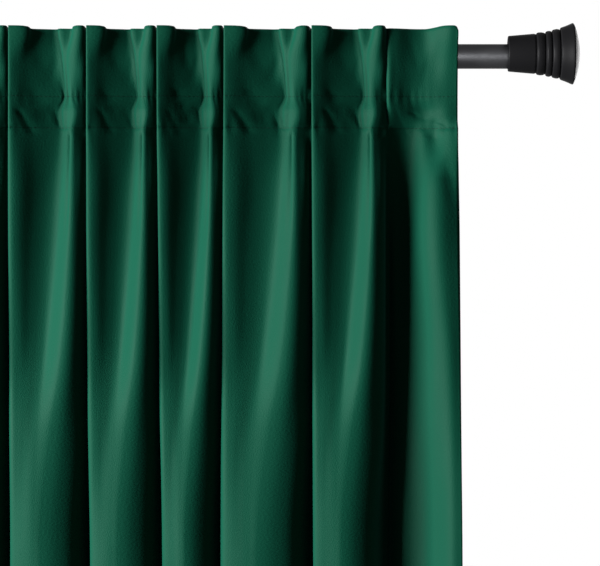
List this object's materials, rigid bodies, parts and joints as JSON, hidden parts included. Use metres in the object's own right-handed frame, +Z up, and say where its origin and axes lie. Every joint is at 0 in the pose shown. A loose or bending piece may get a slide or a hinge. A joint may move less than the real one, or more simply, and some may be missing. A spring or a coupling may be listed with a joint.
{
  "type": "velvet curtain and curtain rod",
  "caption": "Gathered velvet curtain panel in deep, uneven vertical folds, hanging by hidden back tabs from a round rod with ribbed, trumpet-shaped finials.",
  "frame": {"origin": "on the rod's axis at the middle of its length, where the brackets hold the rod", "axes": "+X along the rod to the right as seen from the front, +Z up, the cloth's front faces -Y and the wall is on the +Y side"},
  "size_m": [0.9526, 0.0824, 2.5053],
  "materials": {
    "velvet": "short cut pile, deep emerald, soft sheen",
    "tab_cloth": "folded strips of the same velvet",
    "coated_steel": "dark grey powder coat with a fine grain",
    "black_moulding": "satin black moulding"
  },
  "bodies": {
    "root": {"curtain_panel": "velvet", "back_tab_01": "tab_cloth", "back_tab_02": "tab_cloth", "back_tab_03": "tab_cloth", "back_tab_04": "tab_cloth", "back_tab_05": "tab_cloth", "back_tab_06": "tab_cloth", "back_tab_07": "tab_cloth", "back_tab_08": "tab_cloth", "curtain_rod": "coated_steel", "finial_left": "black_moulding", "finial_right": "black_moulding"}
  },
  "joints": []
}
